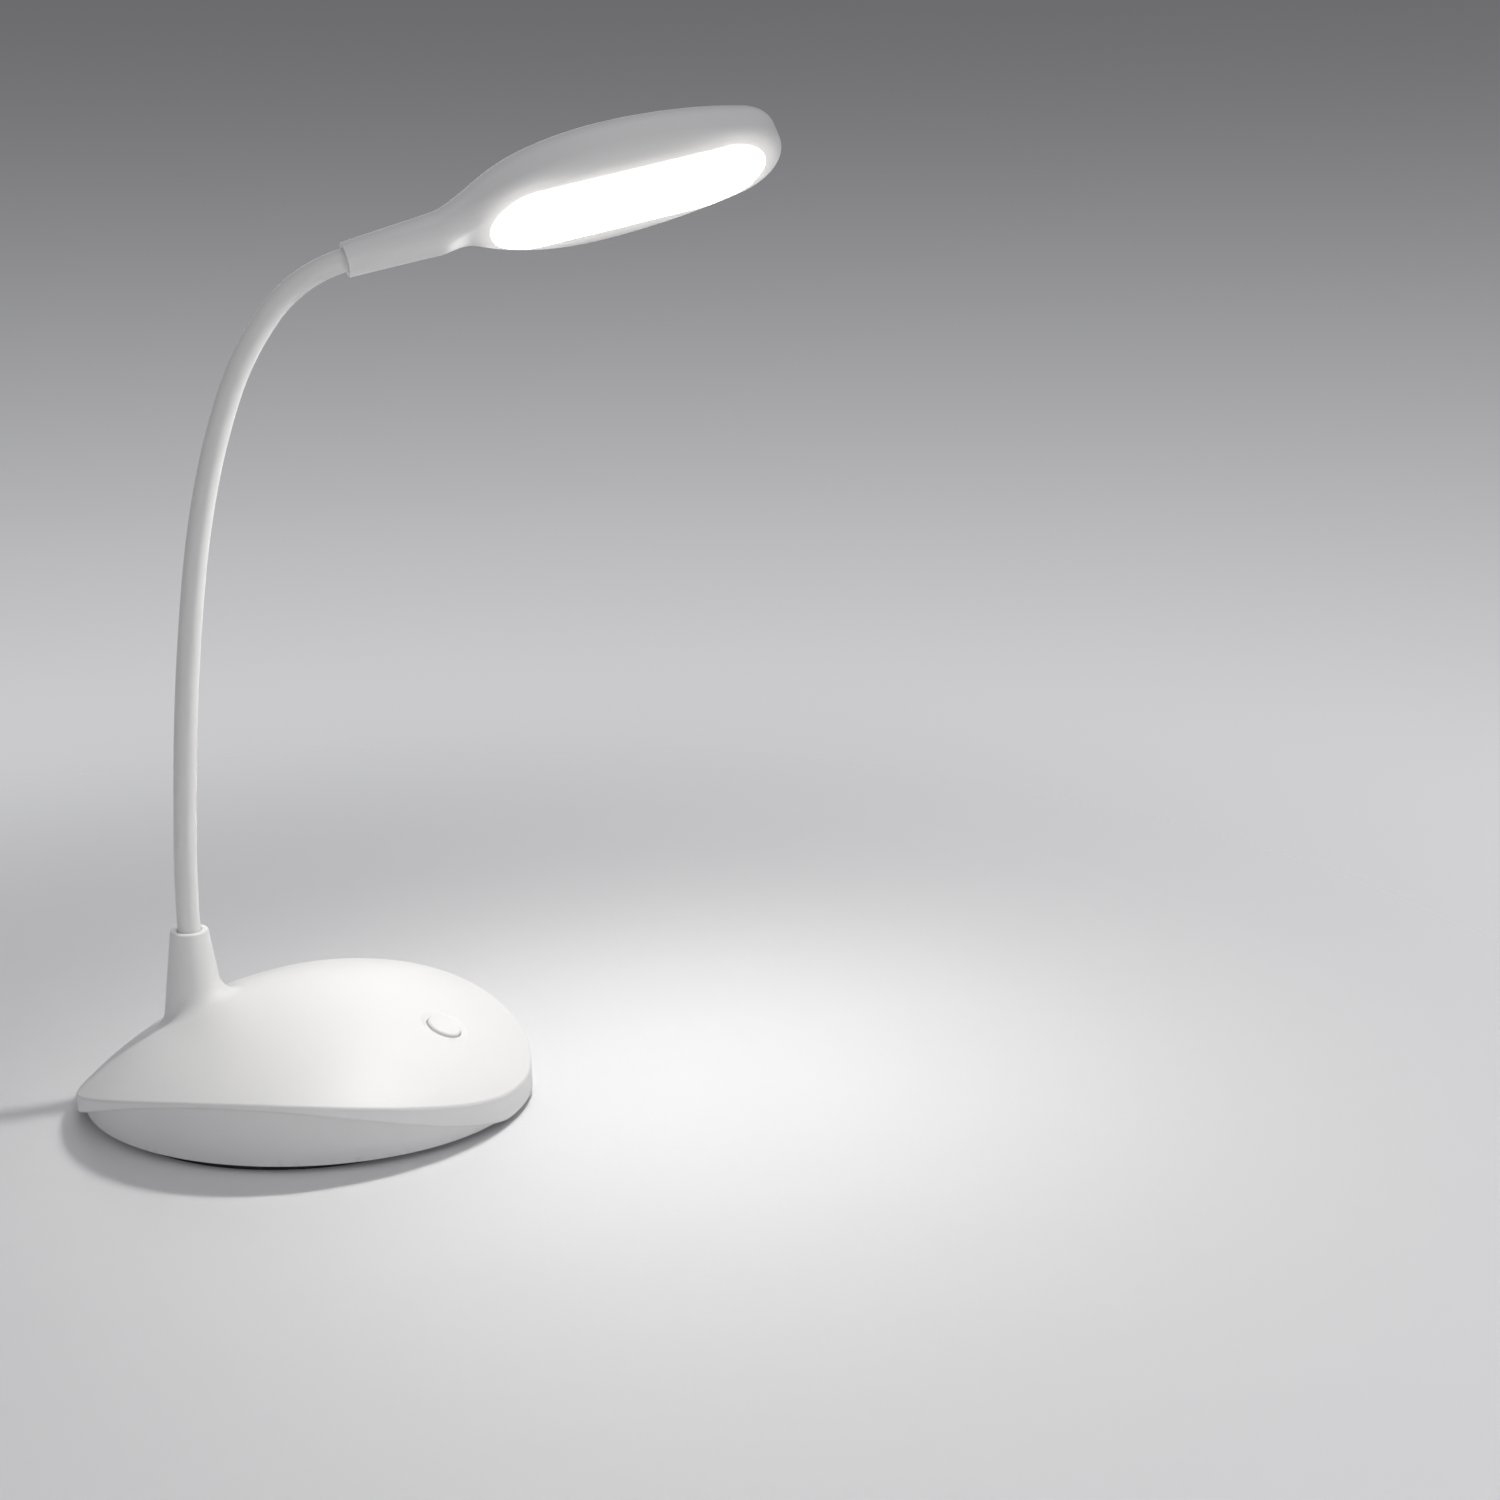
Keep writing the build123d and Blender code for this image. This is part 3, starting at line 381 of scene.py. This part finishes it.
for step in range(1, round_steps + 1):
    turn = math.radians(90 * step / round_steps)
    cap_profile.append(
        (dish_radius + cap_round * math.cos(turn), cap_rim - cap_round + cap_round * math.sin(turn))
    )
dish_steps = 9
for step in range(1, dish_steps + 1):
    reach = dish_radius * (1 - step / dish_steps)
    sink = dish_depth * (0.5 + 0.5 * math.cos(math.pi * reach / dish_radius))
    cap_profile.append((reach, cap_rim - sink))


def new_piece(name, points, faces, material):
    """A smooth mesh object from points in millimetres."""
    mesh = bpy.data.meshes.new(name)
    mesh.from_pydata([Vector(point) * mm for point in points], [], faces)
    mesh.shade_smooth()
    mesh.materials.append(material)
    piece = bpy.data.objects.new(name, mesh)
    bpy.context.scene.collection.objects.link(piece)
    return piece


def turned(profile, segments):
    """Points and faces of a profile of (radius, height) pairs turned about Z, with closed ends."""
    points = []
    rings = []
    for radius, height in profile:
        count = segments if radius else 1
        rings.append(range(len(points), len(points) + count))
        for index in range(count):
            turn = 2 * math.pi * index / segments
            points.append((radius * math.cos(turn), radius * math.sin(turn), height))
    faces = []
    for low, high in zip(rings, rings[1:]):
        for index in range(segments):
            onward = (index + 1) % segments
            below = [low[index % len(low)], low[onward % len(low)]]
            above = [high[onward % len(high)], high[index % len(high)]]
            faces.append(list(dict.fromkeys(below + above)))
    return points, faces


key_segments = 72
key_crease = math.radians(40)
key_finish, shader, place, colour = gloss_finish("key_gloss_white")
feed(shader, Base_Color=colour)
points, faces = turned(cap_profile, key_segments)
key_cap = new_piece("key_cap", points, faces, key_finish)
key_cap.data.set_sharp_from_angle(angle=key_crease)
key_lean = key_axis.to_track_quat("Z", "Y").to_matrix().to_4x4()
key_cap.matrix_world = Matrix.Translation(key_place) @ key_lean
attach(key_cap, "key")
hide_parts("power_key")

nylon_black = (0.014, 0.014, 0.015, 1)
nylon_worn = (0.035, 0.035, 0.036, 1)
switch_finish, shader, place = new_finish("switch_black_nylon", IOR=1.52)
mould = place.grain(per_metre=1500, detail=3.0)
feed(
    shader,
    Base_Color=mould.tint(nylon_black, nylon_worn),
    Roughness=0.4 + mould * 0.2,
    Normal=mould.relief(depth=0.00003, strength=0.5),
)
dress(switch_finish, "tact_switch", "switch_plunger")


# Screws: pan heads in zinc-plated steel. Four draw the tray up to the cover, two hold the neck's
# retainer and four hold the boards. Driving leaves fine wear marks on their heads.
screw_dull = (0.50, 0.51, 0.53, 1)
screw_bright = (0.72, 0.71, 0.68, 1)
screw_finish, shader, place = new_finish("screw_zinc_steel", Metallic=1.0)
wear = place.grain(per_metre=2100, detail=4.0)
feed(
    shader,
    Base_Color=wear.tint(screw_dull, screw_bright),
    Roughness=0.24 + wear * 0.22,
    Normal=wear.relief(depth=0.00003, strength=0.5),
)
dress(screw_finish, "base_screws", "retainer_screws", "board_screws")


# Neck core: a close-wound coil of spring steel that holds whatever bend it is given. The wire's
# turns show as a fine thread along it.
link_count = 8
wire_pitch = 0.0012083
core_dark = (0.30, 0.30, 0.31, 1)
core_bright = (0.50, 0.49, 0.48, 1)
core_finish, shader, place = new_finish("core_spring_steel", Metallic=1.0)
wire = place.axis("Z").wave(wire_pitch)
oil = place.grain(per_metre=300, detail=3.0)
feed(
    shader,
    Base_Color=oil.tint(core_dark, core_bright),
    Roughness=0.26 + oil * 0.2,
    Normal=wire.relief(depth=0.0002, strength=0.7),
)
dress(core_finish, *[f"neck_core_{number}" for number in range(1, link_count + 1)])


# Leads: a pair of stranded wires in soft red plastic, drawn through the core from the driver board
# up the neck to the light board.
lead_dark = (0.36, 0.02, 0.02, 1)
lead_red = (0.48, 0.04, 0.035, 1)
lead_finish, shader, place = new_finish("lead_soft_plastic", IOR=1.5)
strand = place.grain(per_metre=900, detail=3.0)
feed(
    shader,
    Base_Color=strand.tint(lead_dark, lead_red),
    Roughness=0.42 + strand * 0.15,
    Normal=strand.relief(depth=0.00005, strength=0.4),
)
dress(lead_finish, *[f"neck_leads_{number}" for number in range(1, link_count + 1)])


# Ferrules and retainer: turned brass crimped on the core's two ends, and a moulded plate that two
# screws press up against the lower one, so that the neck can't pull out.
brass_dull = (0.62, 0.45, 0.18, 1)
brass_bright = (0.78, 0.60, 0.28, 1)
brass_finish, shader, place = new_finish("ferrule_brass", Metallic=1.0)
turned_lines = place.stretched(scale=(1.0, 1.0, 14.0)).grain(per_metre=500, detail=2.0)
feed(
    shader,
    Base_Color=turned_lines.tint(brass_dull, brass_bright),
    Roughness=0.25 + turned_lines * 0.18,
    Normal=turned_lines.relief(depth=0.00003, strength=0.5),
)
dress(brass_finish, "neck_ferrule", "head_ferrule")
dress(tray_finish, "neck_retainer")


# Neck sleeve: a tube of soft white silicone drawn over the whole core, from inside the socket to
# inside the head's collar. It is made in lengths, each running from the middle of one link to the
# middle of the next.
neck_foot = Vector((-32.868, 0.0, 49.1))
link_length = 25.7
link_turns = (3.8, 1.0, 2.2, 2.0, 5.3, 7.2, 17.7, 36.9)
heading = math.radians(31.8)
forward = Vector((math.cos(heading), math.sin(heading), 0))
sideways = Vector((-math.sin(heading), math.cos(heading), 0))
upward = Vector((0, 0, 1))
sleeve_radius = 3.25
sleeve_bore = 2.44
sleeve_segments = 48
sleeve_crease = math.radians(60)
into_socket = 14.0
into_collar = 13.0
bend_reach = 0.47 * link_length


def along_neck(distance):
    """Middle and direction of the neck at a distance along it from the socket's top."""
    spot = neck_foot.copy()
    lean = 0.0
    left = distance
    for turn in link_turns:
        step = min(left, link_length)
        if step <= 0:
            break
        bend = math.radians(turn) * step / link_length
        chord = step * math.sin(bend / 2) / (bend / 2)
        spot += (forward * math.sin(lean + bend / 2) + upward * math.cos(lean + bend / 2)) * chord
        lean += bend
        left -= step
    ahead = forward * math.sin(lean) + upward * math.cos(lean)
    return spot + ahead * left, ahead


def sleeve_length(start, end, rings, segments):
    """Points and faces of a tube with a wall, along the neck between two distances."""
    points = []
    for ring in range(rings + 1):
        middle, ahead = along_neck(start + (end - start) * ring / rings)
        inward = sideways.cross(ahead)
        for radius in (sleeve_radius, sleeve_bore):
            for index in range(segments):
                turn = 2 * math.pi * index / segments
                points.append(middle + (sideways * math.cos(turn) + inward * math.sin(turn)) * radius)
    stride = 2 * segments
    last = rings * stride
    faces = []
    for index in range(segments):
        onward = (index + 1) % segments
        bore_index = segments + index
        bore_onward = segments + onward
        for low in range(0, last, stride):
            high = low + stride
            faces.append((low + index, low + onward, high + onward, high + index))
            faces.append((high + bore_index, high + bore_onward, low + bore_onward, low + bore_index))
        faces.append((index, bore_index, bore_onward, onward))
        faces.append((last + onward, last + bore_onward, last + bore_index, last + index))
    return points, faces


silicone_white = (0.82, 0.82, 0.815, 1)
silicone_soiled = (0.76, 0.755, 0.745, 1)
sleeve_finish, shader, place = new_finish(
    "sleeve_soft_silicone", IOR=1.43, Sheen_Weight=0.12, Sheen_Roughness=0.4
)
skin = place.grain(per_metre=1400, detail=3.0)
cloud = place.grain(per_metre=55, detail=4.0)
lint = place.grain(per_metre=900, detail=1.0).between(0.72, 0.78)
feed(
    shader,
    Base_Color=(cloud * 0.8 + lint * 0.5).tint(silicone_white, silicone_soiled),
    Roughness=0.40 + cloud * 0.14 + lint * 0.1,
    Normal=skin.relief(depth=0.00003, strength=0.5),
)
for number in range(2, link_count + 1):
    joint = (number - 1) * link_length
    start = -into_socket if number == 2 else joint - link_length / 2
    end = joint + link_length + into_collar if number == link_count else joint + link_length / 2
    points, faces = sleeve_length(start, end, round(end - start), sleeve_segments)
    sleeve = new_piece(f"sleeve_{number - 1}", points, faces, sleeve_finish)
    sleeve.data.set_sharp_from_angle(angle=sleeve_crease)
    bend_start = tuple(along_neck(joint - bend_reach)[0] * mm)
    bend_end = tuple(along_neck(joint + bend_reach)[0] * mm)
    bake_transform(sleeve)
    stood_for = ["neck_sleeve_1", "neck_sleeve_2"] if number == 2 else [f"neck_sleeve_{number}"]
    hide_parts(*stood_for)


# Light board and chips: a metal-backed board lying on the bezel's ledge, white so that no light is
# lost, with two rows of phosphor-capped chips facing the window.
ink_dull = (0.80, 0.80, 0.79, 1)
ink_white = (0.88, 0.88, 0.87, 1)
board_white_finish, shader, place = new_finish("light_board_white", IOR=1.52)
ink = place.grain(per_metre=800, detail=3.0)
feed(
    shader,
    Base_Color=ink.tint(ink_dull, ink_white),
    Roughness=0.45 + ink * 0.15,
    Normal=ink.relief(depth=0.00002, strength=0.4),
)
dress(board_white_finish, "light_board")

phosphor_deep = (0.80, 0.62, 0.12, 1)
phosphor_pale = (0.90, 0.76, 0.25, 1)
chip_light_warm = (1.0, 0.93, 0.80, 1)
chip_light_white = (1.0, 0.98, 0.92, 1)
chip_finish, shader, place = new_finish("chip_phosphor", IOR=1.5, Emission_Strength=2.0)
phosphor = place.grain(per_metre=2600, detail=3.0)
feed(
    shader,
    Base_Color=phosphor.tint(phosphor_deep, phosphor_pale),
    Emission_Color=phosphor.tint(chip_light_warm, chip_light_white),
    Roughness=0.5 + phosphor * 0.2,
)
dress(chip_finish, "light_chips")


# Head: two glossy white mouldings that clip together round the light board and the neck's end. The
# bezel below frames the window and has a painted glow round it, and the crowned shell closes it from
# above.
head_place = Vector((37.31053, 44.90696, 245.0804)) * mm
head_along = Vector((0.84605, 0.49326, 0.20223))
head_up = Vector((-0.42679, 0.39939, 0.81138))
head_across = head_up.cross(head_along)
window_middle = 55.6
window_length = 84.0
window_width = 30.0


def from_slot(reach, across):
    """How far out from the window's middle line a point lies, where 1 is the window's edge."""
    half_straight = (window_length - window_width) / 2 * mm
    past_straight = (abs(reach - window_middle * mm) - half_straight).at_least(0.0)
    return (past_straight * past_straight + across * across) ** 0.5 / (window_width / 2 * mm)


def head_reading(place, direction):
    """How far a point lies from the head's own zero in one of the head's directions, in metres."""
    offset = place.node("ShaderNodeVectorMath", {"operation": "SUBTRACT"}, {0: place, 1: head_place})
    sockets = {0: offset, 1: direction}
    return place.node("ShaderNodeVectorMath", {"operation": "DOT_PRODUCT"}, sockets, "Value")


shell_finish, shader, place, colour = gloss_finish("head_gloss_white")
feed(shader, Base_Color=colour)
dress(shell_finish, "head_shell")

unlit = (0.0, 0.0, 0.0, 1)
painted_glow_colour = (1.0, 0.96, 0.88, 1)
border_face = -0.0052
border_top = -0.001
# The bezel's emission is a painted glow: light painted round the window on the face that looks down,
# though the plastic is no lamp.
bezel_finish, shader, place, colour = gloss_finish("bezel_gloss_white", Emission_Strength=0.4)
outward = from_slot(head_reading(place, head_along), head_reading(place, head_across))
painted_glow = 1 - outward.between(0.9, 1.6)
facing = 1 - head_reading(place, head_up).between(border_face, border_top)
feed(
    shader,
    Base_Color=colour,
    Emission_Color=(painted_glow * painted_glow * facing).tint(unlit, painted_glow_colour),
)
dress(bezel_finish, "head_bezel")


# Window: a pane of milky acrylic let into the bezel and lit from behind. Its light is even over the
# middle and falls off, a little warmer, along its edge, where it has to turn the corner.
pane_gap = 0.15
pane_length = window_length - 2 * pane_gap
pane_width = window_width - 2 * pane_gap
pane_face = -5.2
pane_back = -3.5
pane_round = 0.6
pane_dip = 0.25
pane_bulge = 0.35
pane_spine = 0.4
pane_crease = math.radians(50)


def slot_points(length, width, height, per_end):
    """Points round a slot with round ends, in the head's own directions."""
    radius = width / 2
    points = []
    for end in (1, -1):
        for step in range(per_end):
            turn = math.pi * (step / (per_end - 1) - 0.5)
            reach = end * (length / 2 - radius) + end * radius * math.cos(turn)
            points.append((window_middle + reach, end * radius * math.sin(turn), height))
    return points


pane_rings = [(0.0, pane_back), (0.0, pane_face + pane_round)]
edge_rings = 6
for step in range(1, edge_rings + 1):
    turn = math.radians(90 * step / edge_rings)
    pane_rings.append((pane_round * (1 - math.cos(turn)), pane_face + pane_round * (1 - math.sin(turn))))
face_rings = 12
for step in range(1, face_rings + 1):
    inset = pane_round + (pane_width / 2 - pane_spine - pane_round) * step / face_rings
    bulge = pane_bulge * math.sin(math.pi / 2 * step / face_rings)
    pane_rings.append((inset, pane_face + pane_dip - bulge))
points = []
faces = []
per_end = 33
for inset, height in pane_rings:
    points += slot_points(pane_length - 2 * inset, pane_width - 2 * inset, height, per_end)
around = 2 * per_end
last = (len(pane_rings) - 1) * around
for low in range(0, last, around):
    for index in range(around):
        onward = (index + 1) % around
        faces.append((low + onward, low + index, low + around + index, low + around + onward))
faces.append([last + index for index in range(around)])
faces.append(list(reversed(range(around))))

milk_dull = (0.86, 0.86, 0.84, 1)
milk_white = (0.90, 0.90, 0.885, 1)
edge_light = (0.01, 0.0094, 0.008, 1)
window_light = (1.0, 0.985, 0.95, 1)
pane_finish, shader, place = new_finish("pane_milky_acrylic", IOR=1.49, Emission_Strength=100.0)
inward = 1 - from_slot(place.axis("X"), place.axis("Y")).between(0.76, 1.0)
milk = place.grain(per_metre=120, detail=3.0)
feed(
    shader,
    Base_Color=milk.tint(milk_dull, milk_white),
    Emission_Color=(inward**4).tint(edge_light, window_light),
    Roughness=0.3 + milk * 0.12,
    Normal=place.grain(per_metre=1600, detail=2.0).relief(depth=0.00002, strength=0.4),
)
pane = new_piece("window_pane", points, faces, pane_finish)
pane.data.set_sharp_from_angle(angle=pane_crease)
head_axes = Matrix((head_along, head_across, head_up)).transposed().to_4x4()
pane.matrix_world = Matrix.Translation(head_place) @ head_axes
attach(pane, "head")
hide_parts("diffuser")


# Table: a round of pale paper that the lamp stands on and throws its light and shadow on. It fades
# into the surrounding away from the lamp, so that no line shows behind it from any side.
floor_radius = 60000.0
floor_segments = 96
solid_reach = 0.08
fade_reach = 0.75
least_alpha = 0.02
paper_grey = (0.77, 0.77, 0.785, 1)
paper_white = (0.80, 0.80, 0.815, 1)
paper_finish, shader, place = new_finish("table_pale_paper")
fibre = place.grain(per_metre=260, detail=5.0)
from_lamp = (place.axis("X") * place.axis("X") + place.axis("Y") * place.axis("Y")) ** 0.5
feed(
    shader,
    Base_Color=place.grain(per_metre=2.2, detail=2.0).tint(paper_grey, paper_white),
    Alpha=least_alpha + (1 - from_lamp.between(solid_reach, fade_reach)) ** 2 * (1 - least_alpha),
    Roughness=0.62 + fibre * 0.2,
    Normal=fibre.relief(depth=0.00005, strength=0.3),
)
points, faces = turned([(floor_radius, 0.0), (0.0, 0.0)], floor_segments)
floor = new_piece("table", points, faces, paper_finish)


# Light and camera: four weak soft lamps round the object, whose own window gives most of the light,
# a grey surrounding that grows darker upwards, and a camera where the photograph was taken from.
light_low = (0.34, 0.34, 0.35, 1)
light_high = (0.26, 0.26, 0.27, 1)
backdrop_low = (0.72, 0.72, 0.735, 1)
backdrop_high = (0.14, 0.14, 0.15, 1)
world = bpy.data.worlds.new("studio")
world.use_nodes = True
height = Reading(world.node_tree.nodes.new("ShaderNodeTexCoord").outputs["Generated"]).axis("Z")
ray = world.node_tree.nodes.new("ShaderNodeLightPath").outputs
seen = Reading(ray["Is Camera Ray"]) + Reading(ray["Is Glossy Ray"]) + Reading(ray["Is Transmission Ray"])
soft_light = height.between(-0.1, 0.8).tint(light_low, light_high)
backdrop = height.between(-0.35, 0.1).tint(backdrop_low, backdrop_high)
feed(world.node_tree.nodes["Background"], Color=seen.tint(soft_light, backdrop))
bpy.context.scene.world = world


def soft_lamp(name, spot, aim, size, power):
    """A square lamp of a size in metres and a power in watts, turned towards a point."""
    lamp = bpy.data.lights.new(name, "AREA")
    lamp.size = size
    lamp.energy = power
    stand = bpy.data.objects.new(name, lamp)
    stand.location = spot
    stand.rotation_euler = (Vector(aim) - Vector(spot)).to_track_quat("-Z", "Y").to_euler()
    bpy.context.scene.collection.objects.link(stand)


soft_lamp("right", spot=(0.55, -0.35, 1.0), aim=(0, 0, 0.05), size=0.7, power=1.2)
soft_lamp("front", spot=(-0.35, -0.9, 0.45), aim=(0, 0, 0.05), size=0.5, power=0.6)
soft_lamp("side", spot=(0.85, -0.3, 0.15), aim=(0, 0, 0.06), size=0.4, power=0.7)
soft_lamp("back", spot=(-0.45, 1.0, 0.5), aim=(0, 0, 0.2), size=0.7, power=2.3)

camera_place = Vector((0.2434, -0.5796, 0.2615))
camera_heading = Vector((-0.1875, 0.9823, 0)).normalized()
camera_pitch = math.radians(14.557)
camera_roll = math.radians(-0.822)
camera = bpy.data.cameras.new("camera")
camera.lens = 54.4
camera_stand = bpy.data.objects.new("camera", camera)
look = camera_heading * math.cos(camera_pitch) - upward * math.sin(camera_pitch)
level = look.cross(upward).normalized()
plumb = level.cross(look)
right = level * math.cos(camera_roll) + plumb * math.sin(camera_roll)
top = plumb * math.cos(camera_roll) - level * math.sin(camera_roll)
camera_axes = Matrix((right, top, -look)).transposed().to_4x4()
camera_stand.matrix_world = Matrix.Translation(camera_place) @ camera_axes
bpy.context.scene.collection.objects.link(camera_stand)
bpy.context.scene.camera = camera_stand
bpy.context.scene.view_settings.view_transform = "Standard"
